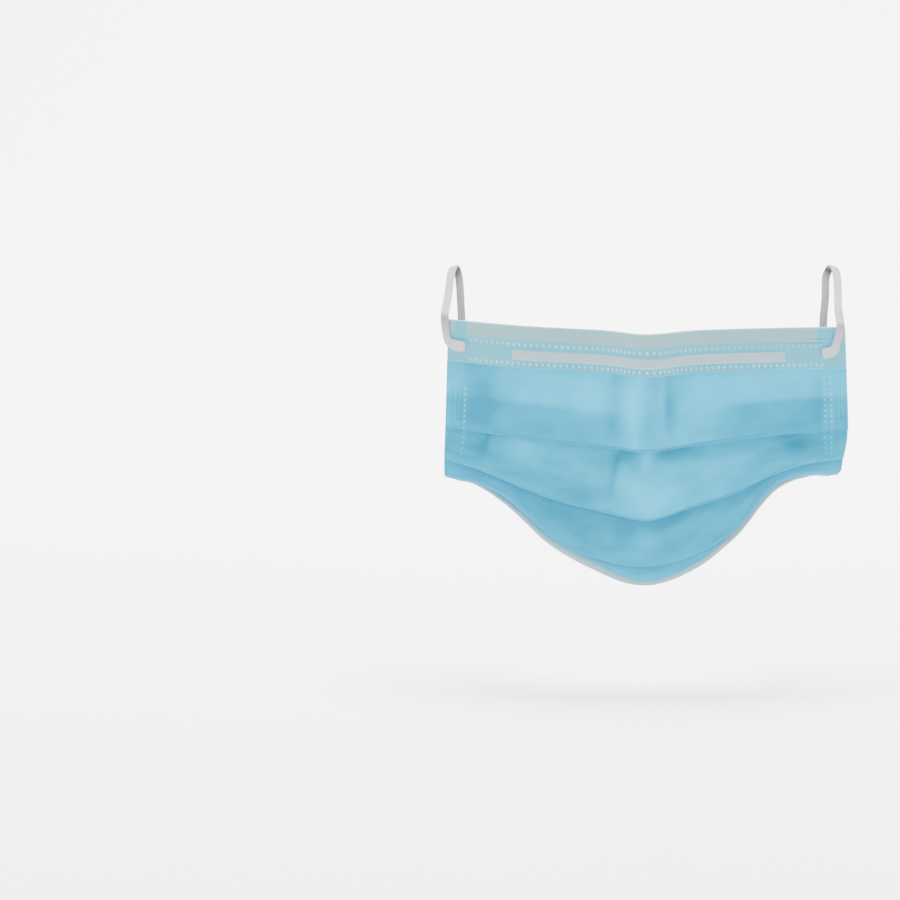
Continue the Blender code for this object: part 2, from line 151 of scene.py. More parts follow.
def roundedSlope(reach, rounding):
    return (math.hypot(reach, rounding) - rounding) / (math.hypot(1, rounding) - rounding)


lineSteps = 200


def noseLine(side):
    reach = np.linspace(0, 1, lineSteps + 1)
    angle = np.radians(np.interp(reach, noseTurns["reach"], noseTurns[side]))
    across = np.concatenate(([0], np.cumsum(np.cos(angle[1:]))))
    back = np.concatenate(([0], np.cumsum(np.sin(angle[1:]))))
    return across / across[-1], back / back[-1]


noseLines = {side: noseLine(side) for side in ("left", "right")}


def smoothRead(values, place):
    start = min(max(int(math.floor(place)), 0), len(values) - 2)
    share = place - start
    p1, p2 = values[start], values[start + 1]
    p0 = values[start - 1] if start > 0 else 2 * p1 - p2
    p3 = values[start + 2] if start + 2 < len(values) else 2 * p2 - p1
    bend = (2 * p0 - 5 * p1 + 4 * p2 - p3) * share ** 2 + (3 * p1 - p0 - 3 * p2 + p3) * share ** 3
    return p1 + 0.5 * ((p2 - p0) * share + bend)


def rowPoint(row, across):
    name, middle, left, right, leftReach, rightReach, middleDepth, sideDepth, nose = row
    onLeft = across < 0
    side = "left" if onLeft else "right"
    reach = abs(across)
    noseAcross, noseBack = (np.interp(reach * lineSteps, range(lineSteps + 1), line) for line in noseLines[side])
    spread = mask["middleSpread"]
    chinAcross = (1 + spread) * reach - spread * reach ** 3
    chinBack = roundedSlope(reach, mask["chinRounding"])
    fullReach = -mask["leftReach"] * leftReach if onLeft else mask["rightReach"] * rightReach
    x = mix(chinAcross, noseAcross, nose) * fullReach
    y = mix(middleDepth, sideDepth, mix(chinBack, noseBack, nose)) * mask["cheekDepth"]
    climb = rowClimbs[name, side]
    climbed = smoothRead((climb[1], *climb), 1 + reach * (len(climb) - 1))
    sideHeight = mask["edgeRise"] - mask["roll"] * across - (left if onLeft else right) * mask["sideFall"]
    middleHeight = mask["edgeRise"] - middle * mask["middleFall"]
    return x, y, mix(middleHeight, sideHeight, climbed)


@lru_cache(maxsize=None)
def columnCurve(across):
    # The rows' points of one column, with slopes that never let the sheet swing past them
    points = np.array([rowPoint(row, across) for row in sheetRows])
    rises = np.diff(points, axis=0)
    slopes = np.zeros_like(points)
    slopes[0], slopes[-1] = rises[0], rises[-1]
    for row in range(1, len(points) - 1):
        product = rises[row - 1] * rises[row]
        total = rises[row - 1] + rises[row]
        slopes[row] = np.where(product > 0, 2 * product / np.where(total == 0, 1, total), 0)
    return points.tolist(), rises.tolist(), slopes.tolist()


@lru_cache(maxsize=None)
def smoothSheet(across, down):
    points, rises, slopes = columnCurve(across)
    start = min(max(int(down), 0), len(rises) - 1)
    share = down - start
    square, cube = share ** 2, share ** 3
    place = []
    for axis in range(3):
        rise, first, second = rises[start][axis], slopes[start][axis], slopes[start + 1][axis]
        bend = (3 * rise - 2 * first - second) * square + (first + second - 2 * rise) * cube
        place.append(points[start][axis] + first * share + bend)
    return Vector(place)


def outward(across, down):
    step = 0.01
    along = smoothSheet(across + step, down) - smoothSheet(across - step, down)
    fall = smoothSheet(across, down + step) - smoothSheet(across, down - step)
    return fall.cross(along).normalized()


foldSpots = {"sharpening": 3.5, "farthest": 8}     # how much faster a sharp side falls off, where a spot ends


def readFolds(across, down, panel=None):
    # How much darker this panel is painted, for plies lying closer behind and as painted shade and highlight, and how
    # far the cloth rises
    darkening, rise = 0.0, 0.0
    for spotPanel, spotAcross, spotDown, width, height, lean, sharp, pliesAndShade, lift in folds:
        aside = (across - spotAcross - lean * (down - spotDown)) / width
        if sharp * aside > 0:
            aside *= foldSpots["sharpening"]
        reach = aside ** 2 + ((down - spotDown) / height) ** 2
        if reach < foldSpots["farthest"]:
            share = math.exp(-reach)
            rise += lift * share
            darkening += pliesAndShade * share * (panel == spotPanel)
    return darkening, rise * 0.001


waves = {
    "size": 0.016, "height": 0.00035, "fineSize": 0.0055, "fineHeight": 0.00010, "seed": 4.7,
    "calmSides": 0.15, "calmRows": 0.30, "calmFade": 0.25,
}


def waveHeight(across, down):
    # Slack of a light sheet: long soft waves with a little crumple in them
    spot = smoothSheet(across, down)
    long = noise.noise(spot / waves["size"] + Vector((waves["seed"], 0, 0)))
    fine = noise.noise(spot / waves["fineSize"] + Vector((0, waves["seed"], 0)))
    fromSides = softStep((1 - abs(across)) / waves["calmSides"])
    fromStrip = softStep((down - waves["calmRows"]) / waves["calmFade"])
    return (long * waves["height"] + fine * waves["fineHeight"]) * (fromSides * fromStrip)


def inSeal(across):
    inside = (1 - abs(across)) * mask["halfWidth"] / mask["sealWidth"]
    return 1 - softStep(inside - 0.5)


@lru_cache(maxsize=None)
def cornerBottom(side):
    return rowPoint(sheetRows[hemRow - 1], -1 if side == "left" else 1)[2]


def roundedCorner(across, height):
    # How far the side edge has drawn in where it nears the bottom corner, fading out four radii from the edge
    side = "left" if across < 0 else "right"
    radius = mask[side + "Corner"]
    rise = clamp((height - cornerBottom(side)) / radius)
    near = clamp(1 - (1 - abs(across)) * mask["halfWidth"] / (4 * radius))
    return math.copysign(radius * (1 - math.sqrt(1 - (1 - rise) ** 2)) * near, -across)


@lru_cache(maxsize=None)
def onSheet(across, down, offset=0.0):
    # In the welded sides the plies are pushed straight to the front, so their edges stay in one line
    smooth = smoothSheet(across, down)
    push = offset + readFolds(across, down)[1] + waveHeight(across, down)
    way = outward(across, down).lerp(Vector((0, -1, 0)), inSeal(across))
    return smooth + way * push + Vector((roundedCorner(across, smooth.z), -mask["innerFace"], 0))


def foldLength(across, down):
    step = 0.02
    return (smoothSheet(across, down + step) - smoothSheet(across, down - step)).length / (2 * step)


def walk(across, start, distance):
    steps = 4
    place = start
    for _ in range(steps):
        middle = place + distance / steps / 2 / foldLength(across, place)
        place += distance / steps / foldLength(across, middle)
    return place


@lru_cache(maxsize=None)
def plyStep(across):
    return mix(mask["plyStep"], mask["sealedStep"], inSeal(across))


@lru_cache(maxsize=None)
def panelSpan(across, panel):
    fold = pleats[panel - 1][0]
    end = pleats[panel][0] if panel < len(pleats) else hemRow
    return fold + plyStep(across) / foldLength(across, fold), end


# How dark each panel is painted where it hangs free, for the plies behind it and as painted shade, strongest on the
# lower panels that face down, and how much more where a pleat laps
plyAndShadeTones = {
    "across": (-1.00, -0.88, -0.60, -0.30, 0.00, 0.30, 0.50, 0.88, 1.00),
    "open": (
        (0.25, 0.55, 0.28, 0.32, 0.40, 0.28, 0.20, 0.22, 0.30),
        (0.70, 0.75, 0.45, 0.52, 0.48, 0.45, 0.42, 0.75, 0.75),
        (1.00, 0.98, 0.92, 0.92, 0.84, 0.84, 0.86, 0.98, 1.00),
        (1.00, 1.00, 0.95, 0.95, 0.90, 0.90, 0.92, 1.00, 1.00),
    ),
    "lap": (
        (0.40, 0.25, 0.50, 0.42, 0.05, 0.12, 0.50, 0.55, 0.45),
        (0.20, 0.10, 0.25, 0.25, 0.00, 0.00, 0.20, 0.15, 0.15),
        (0.10, 0.10, 0.10, 0.10, 0.10, 0.12, 0.10, 0.10, 0.10),
    ),
    "soft": 0.0025,
    "loose": 0.22,      # how unevenly the plies lie, in soft patches with finer ones on them
    "patchesAcross": 7, "patchesDown": 4, "panelShift": 5, "seed": 2.3, "finer": 2.3, "finerShare": 0.5,
}


def halfTurn(steps):
    return [math.pi * share for share in np.linspace(0, 1, steps + 1)]


def plyOffset(across, down, panel):
    # A panel starts two plies inside the panel above it, and comes out as it nears its own fold
    if panel == 0:
        return 0.0
    start, end = panelSpan(across, panel)
    if down < start:
        return plyOffset(across, down, panel - 1) - 2 * plyStep(across)
    return -2 * plyStep(across) * (max(end - down, 0) / (end - start)) ** 2


def pleatRoute(across, fine):
    # The sheet's way down one column: place down the rows, offset, and how dark it is painted, for the plies behind
    # and as painted shade
    step = plyStep(across)
    radius = step / 2
    halfCircle = halfTurn(fine["turn"])
    laps, layered = [], []
    for fold, lap in pleats:
        depth = lap * mix(mask["openLap"], mask["pleatLap"], abs(across) ** mask["lapEase"])
        laps.append(walk(across, fold, -depth))
        layered.append(walk(across, fold, -lap * mask["pleatLap"]))

    def shade(down, panel):
        # How dark the cloth is painted, 0 to 1: darker where the pleat's plies lie against it, with painted shade and
        # painted highlight from the tone tables and the folds
        tone = np.interp(across, plyAndShadeTones["across"], plyAndShadeTones["open"][panel])
        if panel < len(pleats):
            soft = plyAndShadeTones["soft"] / foldLength(across, down)
            over = clamp((down - layered[panel]) / soft + 0.5)
            tone += over * np.interp(across, plyAndShadeTones["across"], plyAndShadeTones["lap"][panel])
        depth = panel * plyAndShadeTones["panelShift"] + plyAndShadeTones["seed"]
        spot = Vector((across * plyAndShadeTones["patchesAcross"], down * plyAndShadeTones["patchesDown"], depth))
        patches = noise.noise(spot) + plyAndShadeTones["finerShare"] * noise.noise(plyAndShadeTones["finer"] * spot)
        return clamp(float(tone) + plyAndShadeTones["loose"] * patches + readFolds(across, down, panel)[0])

    route = [(down, 0.0, shade(down, 0)) for down in np.linspace(0, pleats[0][0], fine["panels"][0] + 1)[:-1]]
    for panel, inside in enumerate(laps):
        fold = pleats[panel][0]
        lip = plyOffset(across, fold, panel) - radius
        bend = plyOffset(across, inside, panel) - step - radius
        size = foldLength(across, fold)
        route += [(fold + radius * math.sin(turn) / size, lip + radius * math.cos(turn), 1) for turn in halfCircle]
        hidden = np.linspace(fold, inside, fine["hidden"] + 1)[1:-1]
        route += [(down, plyOffset(across, down, panel) - step, 1) for down in hidden]
        size = foldLength(across, inside)
        route += [(inside - radius * math.sin(turn) / size, bend + radius * math.cos(turn), 1) for turn in halfCircle]
        start, end = panelSpan(across, panel + 1)
        hidden = np.linspace(inside, start, fine["hidden"] + 1)[1:-1]
        route += [(down, plyOffset(across, down, panel + 1), 1) for down in hidden]
        places = np.linspace(start, end, fine["panels"][panel + 1] + 1)
        places = places if panel + 1 == len(pleats) else places[:-1]
        route += [(down, plyOffset(across, down, panel + 1), shade(down, panel + 1)) for down in places]
    return route


def makeGrid(name, rows, columns, place, floats, material):
    # place gives a vertex's point, its place on the flat cloth in metres, and a value for each float attribute
    grid = bmesh.new()
    bmesh.ops.create_grid(grid, x_segments=columns, y_segments=rows, size=1)
    layers = [grid.verts.layers.float.new(label) for label in floats]
    uvLayer = grid.loops.layers.uv.new("Sheet")
    flat = {}
    for vertex in grid.verts:
        column = round((vertex.co.x + 1) / 2 * columns)
        row = round((1 - vertex.co.y) / 2 * rows)
        vertex.co, flat[vertex], values = place(column, row)
        for layer, value in zip(layers, values):
            vertex[layer] = value
    for face in grid.faces:
        face.smooth = True
        for loop in face.loops:
            loop[uvLayer].uv = flat[loop.vert]
    mesh = bpy.data.meshes.new(name)
    grid.to_mesh(mesh)
    grid.free()
    piece = bpy.data.objects.new(name, mesh)
    bpy.context.scene.collection.objects.link(piece)
    mesh.materials.append(material)
    return piece


def addWall(piece, thickness, offset):
    wall = piece.modifiers.new("Wall", "SOLIDIFY")
    wall.thickness = thickness
    wall.offset = offset
    wall.use_rim = True
    return wall


def finishPiece(piece, node):
    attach(piece, "root")
    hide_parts(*node)


def linear(colour):
    # sRGB hex to the linear colour that the shader takes
    channels = [int(colour[start:start + 2], 16) / 255 for start in (0, 2, 4)]
    return (*(c / 12.92 if c <= 0.04045 else ((c + 0.055) / 1.055) ** 2.4 for c in channels), 1)


def addNode(tree, kind, inputs, **settings):
    # Another node's output is linked to its input, and anything else is set as the input's value
    node = tree.nodes.new(kind)
    for name, value in settings.items():
        setattr(node, name, value)
    for name, value in inputs.items():
        if isinstance(value, bpy.types.NodeSocket):
            tree.links.new(value, node.inputs[name])
        else:
            node.inputs[name].default_value = value
    return node


def newMaterial(name, roughness, sheen=0.0, specular=0.5):
    material = bpy.data.materials.new(name)
    material.use_nodes = True
    shader = material.node_tree.nodes["Principled BSDF"]
    shader.inputs["Roughness"].default_value = roughness
    shader.inputs["IOR"].default_value = 1.49     # polypropylene
    shader.inputs["Specular IOR Level"].default_value = specular
    shader.inputs["Sheen Weight"].default_value = sheen
    shader.inputs["Sheen Roughness"].default_value = 0.5
    return material, material.node_tree, shader


# A Mix node's colours are its inputs 6 and 7, and its mixed colour is output 2
def layColours(tree, colour, colours, names):
    # Each attribute lays the colour of its own name over those before it
    for name in names:
        amount = addNode(tree, "ShaderNodeAttribute", {}, attribute_name=name).outputs["Fac"]
        colour = addNode(
            tree, "ShaderNodeMix", {0: amount, 6: colour, 7: linear(colours[name])}, data_type="RGBA",
        ).outputs[2]
    return colour


def layRelief(tree, shader, height, strength, depth):
    bump = addNode(tree, "ShaderNodeBump", {"Height": height, "Strength": strength, "Distance": depth})
    tree.links.new(bump.outputs["Normal"], shader.inputs["Normal"])


# All of the mask's cloth: bonds in a small grid, loose fibres between them. The bonds' pitch and the fibres' size are
# in millimetres. A single fibre is 0.02 mm thick and wouldn't show, so it is drawn as a tuft of them.
spunbond = {
    "bondPitch": 1.1, "bondScatter": 0.25, "bondEdge": 0.30, "fibreSize": 0.35, "fibreDetail": 4.0,
    "fibreRoughness": 0.65, "fibreCurl": 1.5, "fibreHeight": 0.35, "fibreRange": (0.3, 0.7), "reliefDepth": 0.0002,
}


def addSpunbond(tree, shader, colour, cloth):
    # The fibres raise the cloth a little and make its colour uneven
    uv = addNode(tree, "ShaderNodeUVMap", {}, uv_map="Sheet").outputs["UV"]
    inMm = addNode(tree, "ShaderNodeMapping", {"Vector": uv, "Scale": (1000, 1000, 1000)}).outputs["Vector"]
    bonds = addNode(
        tree, "ShaderNodeTexVoronoi",
        {"Vector": inMm, "Scale": 1 / spunbond["bondPitch"], "Randomness": spunbond["bondScatter"]},
        voronoi_dimensions="2D",
    ).outputs["Distance"]
    fibres = addNode(
        tree, "ShaderNodeTexNoise",
        {"Vector": inMm, "Scale": 1 / spunbond["fibreSize"], "Detail": spunbond["fibreDetail"],
         "Roughness": spunbond["fibreRoughness"], "Distortion": spunbond["fibreCurl"]},
        noise_dimensions="2D",
    ).outputs["Fac"]
    pressed = addNode(tree, "ShaderNodeMath", {0: bonds, 1: spunbond["bondEdge"]}, operation="MINIMUM").outputs[0]
    height = addNode(
        tree, "ShaderNodeMath", {0: fibres, 1: spunbond["fibreHeight"], 2: pressed}, operation="MULTIPLY_ADD",
    ).outputs[0]
    layRelief(tree, shader, height, cloth["relief"], spunbond["reliefDepth"])
    fine, coarse = spunbond["fibreRange"]
    dark, light = cloth["speckle"]
    speckle = addNode(
        tree, "ShaderNodeMapRange",
        {"Value": fibres, "From Min": fine, "From Max": coarse, "To Min": dark, "To Max": light},
    ).outputs["Result"]
    uneven = addNode(
        tree, "ShaderNodeMix", {0: 1.0, 6: colour, 7: speckle}, data_type="RGBA", blend_type="MULTIPLY",
    ).outputs[2]
    tree.links.new(uneven, shader.inputs["Base Color"])


blueCloth = {
    "base": "0caed5", "cloud": "14b7dc", "pliesAndShade": "0b7c9d", "weld": "58c1db", "relief": 0.35, "speckle": (0.93, 1.06),
    "clouds": 45.0, "cloudDetail": 3.0, "cloudRange": (0.35, 0.70),     # 45 clouds in a metre, so 22 mm each
}


def blueSpunbond():
    # Dyed polypropylene spunbond: matt, because light scatters between its fibres, and painted darker where plies lie
    # close, with painted shade and painted highlight laid into that same tone
    material, tree, shader = newMaterial("blue polypropylene spunbond", 0.85, specular=0.04)
    place = addNode(tree, "ShaderNodeTexCoord", {}).outputs["Object"]
    cloud = addNode(
        tree, "ShaderNodeTexNoise",
        {"Vector": place, "Scale": blueCloth["clouds"], "Detail": blueCloth["cloudDetail"]},
    ).outputs["Fac"]
    low, high = blueCloth["cloudRange"]
    clouds = addNode(
        tree, "ShaderNodeMapRange", {"Value": cloud, "From Min": low, "From Max": high},
    ).outputs["Result"]
    colour = addNode(
        tree, "ShaderNodeMix", {0: clouds, 6: linear(blueCloth["base"]), 7: linear(blueCloth["cloud"])},
        data_type="RGBA",
    ).outputs[2]
    # The panel's tone is laid on here: darker where plies lie close, plus painted shade and painted highlight
    colour = layColours(tree, colour, blueCloth, ("pliesAndShade", "weld"))
    addSpunbond(tree, shader, colour, blueCloth)
    return material


whiteCloth = {
    "top": "7a9fa5", "between": "4c9fb3", "wire": "90a3a9", "weld": "b7e1eb", "patch": "22a2be",
    "relief": 0.30, "speckle": (0.95, 1.04),
}


def stripSpunbond():
    # Undyed spunbond: thin enough for the blue sheet and the wire to show through it
    material, tree, shader = newMaterial("thin white polypropylene spunbond", 0.80, specular=0.2)
    colour = layColours(tree, linear(whiteCloth["top"]), whiteCloth, ("between", "wire", "patch", "weld"))
    addSpunbond(tree, shader, colour, whiteCloth)
    return material


liningCloth = {"base": "c8cecf", "weld": "dde3e4", "relief": 0.30, "speckle": (0.95, 1.03)}


def liningSpunbond():
    # The same undyed cloth where it lies against the face, with nothing blue in front of it
    material, tree, shader = newMaterial("white polypropylene lining", 0.72, sheen=0.25)
    colour = layColours(tree, linear(liningCloth["base"]), liningCloth, ("weld",))
    addSpunbond(tree, shader, colour, liningCloth)
    return material


hemCloth = {"over": "2794b0", "rim": "6a8794", "relief": 0.30, "speckle": (0.95, 1.04)}


def hemSpunbond():
    # The lining turned over the bottom edge, greyish blue because the dyed sheet shows through
    material, tree, shader = newMaterial("turned polypropylene hem", 0.80, specular=0.2)
    colour = layColours(tree, linear(hemCloth["over"]), hemCloth, ("rim",))
    addSpunbond(tree, shader, colour, hemCloth)
    return material


elastic = {
    "width": 0.0031, "thickness": 0.0008, "steps": 420, "across": 8, "offset": 0.0012,
    "weldLength": 0.0050, "weldWidth": 0.0040, "weldFade": 0.0030, "weldRounding": 0.0009, "roundingFade": 0.0020,
    "lighterFade": 0.0180, "edgeRounding": 0.32, "edgeAngle": 50,
    # The back colours paint the band's inner face darker: painted shade, as on the rear strand that lies in shadow
    "base": "8a8f8d", "valley": "787d7a", "pressed": "b0b2b8", "back": "666a67", "shadedBackValley": "585c5a",
    "ribPitch": 0.55, "stitchPitch": 0.75,      # in millimetres
    "stitchWobble": 1.0, "stitchHeight": 0.5, "heightRange": (0.2, 1.2), "relief": 0.6, "reliefDepth": 0.0002,
}
bandScale = 1 / math.pi     # a wave texture's bands repeat about once in a unit, here a millimetre


def knittedElastic(name, base, valley):
    # Warp-knitted spandex and polyester band: ribs along it, small stitches across them, no gloss
    material, tree, shader = newMaterial(name, 0.85, sheen=0.15)
    uv = addNode(tree, "ShaderNodeUVMap", {}, uv_map="Sheet").outputs["UV"]
    inMm = addNode(tree, "ShaderNodeMapping", {"Vector": uv, "Scale": (1000, 1000, 1000)}).outputs["Vector"]
    ribs = addNode(
        tree, "ShaderNodeTexWave", {"Vector": inMm, "Scale": bandScale / elastic["ribPitch"]},
        wave_type="BANDS", bands_direction="X",
    ).outputs["Fac"]
    stitches = addNode(
        tree, "ShaderNodeTexWave",
        {"Vector": inMm, "Scale": bandScale / elastic["stitchPitch"], "Distortion": elastic["stitchWobble"]},
        wave_type="BANDS", bands_direction="Y",
    ).outputs["Fac"]
    height = addNode(
        tree, "ShaderNodeMath", {0: stitches, 1: elastic["stitchHeight"], 2: ribs}, operation="MULTIPLY_ADD",
    ).outputs[0]
    low, high = elastic["heightRange"]
    # The knit's low places are painted towards the darker valley colour: painted shade in its grooves
    shade = addNode(
        tree, "ShaderNodeMapRange", {"Value": height, "From Min": low, "From Max": high},
    ).outputs["Result"]
    colour = addNode(
        tree, "ShaderNodeMix", {0: shade, 6: linear(valley), 7: linear(base)}, data_type="RGBA",
    ).outputs[2]
    colour = layColours(tree, colour, elastic, ("pressed",))
    tree.links.new(colour, shader.inputs["Base Color"])
    layRelief(tree, shader, height, elastic["relief"], elastic["reliefDepth"])
    return material


def coatedWire():
    # Plastic-coated flat wire: satin, closed in behind the white strip
    material, _, shader = newMaterial("plastic coated flat wire", 0.45)
    shader.inputs["Base Color"].default_value = linear("b4b3ae")
    return material


# The welds pressed into the sides: distance from the side edge, strength of the dots, strength of a plain groove
sideSeals = {
    "grooveShade": 0.5,
    "left": ((0.0033, 0.00, 0.55), (0.0055, 0.00, 0.60), (0.0072, 0.00, 0.50), (0.0090, 1.00, 0.10)),
    "right": ((0.0016, 0.00, 0.40), (0.0034, 0.00, 0.50), (0.0053, 0.00, 0.40), (0.0074, 0.90, 0.15),
              (0.0101, 1.00, 0.15)),
    "pitch": 0.0021, "width": 0.00055, "height": 0.00070, "depth": 0.00015,
    "leftTop": -0.0120, "rightTop": -0.0085, "grooveTop": -0.0125, "grooveEnd": -0.0262, "clearEnd": -0.0275,
    "bottom": -0.0400, "faint": 0.45,   # how faint the dots are below clearEnd
}
dots = {"flatness": 1.3, "usual": 0.78, "unevenness": 0.50, "alongStep": 0.61, "lineStep": 7.3, "seed": 1.7}


def dot(aside, along, width, height):
    # A pressed oval: 1 in its middle, 0 past its rim
    return clamp(dots["flatness"] * (1 - (aside / width) ** 2 - (along / height) ** 2))


def unevenDot(index, line):
    # No two welds are pressed alike
    spot = (index * dots["alongStep"], line * dots["lineStep"], dots["seed"])
    return dots["usual"] + dots["unevenness"] * noise.noise(spot)


def sealWeld(across, height):
    # The dots' and the grooves' depth, from 0 to 1
    inwards = (1 - abs(across)) * mask["halfWidth"]
    width, pitch = sideSeals["width"], sideSeals["pitch"]
    side = "left" if across < 0 else "right"
    if inwards > mask["sealWidth"] or not sideSeals["bottom"] < height < sideSeals[side + "Top"]:
        return 0.0, 0.0
    along = ((height / pitch) % 1 - 0.5) * pitch
    clear = sideSeals["faint"] if height < sideSeals["clearEnd"] else 1.0
    pressed = grooves = 0.0
    for line, dotted, plain in sideSeals[side]:
        aside = inwards - line
        uneven = unevenDot(math.floor(height / pitch), line * 1000)
        pressed = max(pressed, clear * uneven * dotted * dot(aside, along, width, sideSeals["height"]))
        if sideSeals["grooveEnd"] < height < sideSeals["grooveTop"]:
            grooves = max(grooves, plain * clamp(1 - (aside / width) ** 2))
    return pressed, grooves


def panelColumns(fineStep, wideStep):
    # Closer columns in the welded sides
    seal = mask["sealWidth"]
    side = np.linspace(0, seal, round(seal / fineStep) + 1)
    middle = mask["halfWidth"] - seal
    inner = np.linspace(-middle, middle, round(2 * middle / wideStep) + 1)[1:-1]
    places = np.concatenate((side - mask["halfWidth"], inner, mask["halfWidth"] - side[::-1]))
    return [float(place / mask["halfWidth"]) for place in places]


panelCloth = {
    "thickness": 0.00035, "fineStep": 0.0004, "wideStep": 0.0019,
    "fine": {"turn": 5, "hidden": 4, "panels": (96, 60, 44, 26)}, "flat": (0.175, 0.127),
}


def makePanel(name, material, settings, offset):
    columns = panelColumns(settings["fineStep"], settings["wideStep"])
    routes = [pleatRoute(across, settings["fine"]) for across in columns]
    middle = len(columns) // 2
    middleLine = [onSheet(columns[middle], down, lift) for down, lift, shade in routes[middle]]
    lengths = [0.0]
    for before, after in zip(middleLine, middleLine[1:]):
        lengths.append(lengths[-1] - (after - before).length)

    def place(column, row):
        across = columns[column]
        down, lift, shade = routes[column][row]
        pressed, grooves = sealWeld(across, smoothSheet(across, down).z)
        spot = onSheet(across, down, lift - max(pressed, grooves) * sideSeals["depth"])
        # The tone holds the plies behind, the grooves darkened as shade, and the painted shade and highlight of the
        # tables
        values = (pressed, shade + sideSeals["grooveShade"] * grooves)
        return spot, (across * mask["halfWidth"], lengths[row]), values

    piece = makeGrid(name, len(routes[0]) - 1, len(columns) - 1, place, ("weld", "pliesAndShade"), material)
    addWall(piece, settings["thickness"], offset)
    return piece


liningSettings = {
    "thickness": 0.00030, "fineStep": 0.0006, "wideStep": 0.0026,
    "fine": {"turn": 4, "hidden": 3, "panels": (66, 42, 30, 18)}, "flat": (0.175, 0.127),
}

topStrip = {
    "depth": 0.0153, "turn": 0.0080, "offset": 0.00055, "thickness": 0.00028, "rowStep": 0.00032,
    "dotPitch": 0.00240, "dotsPerSide": 33, "columnsPerDot": 8, "dotRows": (0.0066, 0.0138),
    "dotWidth": 0.00052, "dotHeight": 0.00072, "dotDepth": 0.00018, "dotAcross": (-1.0, -0.2, 0.25, 0.6, 1.0),
    "dotClear": ((0.60, 0.90, 0.70, 0.30, 0.25), (0.80, 1.00, 1.00, 0.95, 0.50)),
    "whiteDepth": 0.0048, "whiteFade": 0.0016, "turnSteps": 7, "backRows": 12, "endColumns": 17,
    "dotsBehind": 0.5, "wireHalf": 0.0016, "wireSlope": 0.0006, "wireFade": 0.0003, "wireLift": 0.00060,
    "flat": (0.175, 0.0251),
}
wire = {
    "length": 0.1190, "shift": 0.0016, "width": 0.0032, "thickness": 0.0005, "offset": 0.00072, "columns": 160,
    "rows": 4,
}
cornerPatches = {
    "left": {"from": -0.965, "to": -0.905, "low": 0.0070},
    "right": {"from": 0.862, "to": 0.952, "low": 0.0066},
    "soft": 0.010, "strength": 0.85,
}


def stripColumns():
    perDot = topStrip["columnsPerDot"]
    pitch = topStrip["dotPitch"] / perDot
    count = topStrip["dotsPerSide"] * perDot
    inner = [step * pitch for step in range(-count, count + 1)]
    outer = np.linspace(inner[-1], mask["halfWidth"], topStrip["endColumns"] + 1)[1:]
    places = [-place for place in outer[::-1]] + inner + list(outer)
    return [float(place / mask["halfWidth"]) for place in places]


def stripDots(across, distance):
    spot = across * mask["halfWidth"] / topStrip["dotPitch"]
    if abs(spot) > topStrip["dotsPerSide"] - 0.5:
        return 0.0
    aside = (spot + 0.5) % 1 - 0.5
    pressed = 0.0
    for row, clear in zip(topStrip["dotRows"], topStrip["dotClear"]):
        oval = dot(aside * topStrip["dotPitch"], distance - row, topStrip["dotWidth"], topStrip["dotHeight"])
        clear = float(np.interp(across, topStrip["dotAcross"], clear))
        pressed = max(pressed, clear * oval * unevenDot(math.floor(spot + 0.5), row * 1000))
    return pressed


def overWire(across, distance, soft):
    alongEnd = wire["length"] / 2 - abs(across * mask["halfWidth"] - wire["shift"])
    acrossEnd = topStrip["wireHalf"] - abs(distance - mask["edgeRise"])
    return softStep(alongEnd / soft + 0.5) * softStep(acrossEnd / soft + 0.5)


def patchShade(across, distance):
    patch = cornerPatches["left" if across < 0 else "right"]
    soft = cornerPatches["soft"]
    aside = min(across - patch["from"], patch["to"] - across) / soft
    below = (patch["low"] - distance) / (soft * mask["halfWidth"])
    return cornerPatches["strength"] * softStep(aside + 0.5) * softStep(below + 0.5)


def makeTopStrip(material):
    columns = stripColumns()
    offset = topStrip["offset"]
    front = np.linspace(topStrip["depth"], 0, round(topStrip["depth"] / topStrip["rowStep"]) + 1)
    back = np.linspace(0, topStrip["turn"], topStrip["backRows"])
    turn = halfTurn(topStrip["turnSteps"])[1:-1]
    route = [(distance, offset, 1) for distance in front]
    route += [(-offset * math.sin(angle), offset * math.cos(angle), 0) for angle in turn]
    route += [(distance, -offset, 0) for distance in back]
    places = [[walk(across, 0, distance) for distance, lift, inFront in route] for across in columns]

    def place(column, row):
        across = columns[column]
        distance, lift, inFront = route[row]
        weld = stripDots(across, distance) * (inFront or topStrip["dotsBehind"])
        lift += inFront * topStrip["wireLift"] * overWire(across, distance, topStrip["wireSlope"])
        spot = onSheet(across, places[column][row], lift - inFront * weld * topStrip["dotDepth"])
        between = softStep((distance - topStrip["whiteDepth"]) / topStrip["whiteFade"] + 0.5)
        shades = (between, overWire(across, distance, topStrip["wireFade"]), patchShade(across, distance))
        along = distance if inFront else -distance - 2 * offset
        return spot, (across * mask["halfWidth"], -along), (weld, *(shade * inFront for shade in shades))

    names = ("weld", "between", "wire", "patch")
    piece = makeGrid("top_strip", len(route) - 1, len(columns) - 1, place, names, material)
    addWall(piece, topStrip["thickness"], 0)
    return piece


hem = {
    "back": 0.0028, "backRows": 6, "front": 0.00055, "behind": 0.00055, "thickness": 0.00028, "columns": 240,
    "face": 7, "under": 7, "turnSteps": 7, "sunk": 0.0003, "surfaced": 3, "hang": 0.0004, "fadeRows": 2,
    "flatStep": 0.0006, "searchUp": 1.4, "searchSteps": 56, "even": 8,
    # How much of it shows along the outline, in metres at shares of the half width
    "across": (-1.00, -0.80, -0.60, -0.50, -0.36, -0.20, 0.00, 0.16, 0.32, 0.46, 0.58, 0.80, 1.00),
    "rim": (0.0006, 0.0009, 0.0014, 0.0036, 0.0056, 0.0046, 0.0024, 0.0030, 0.0042, 0.0036, 0.0016, 0.0010, 0.0007),
}


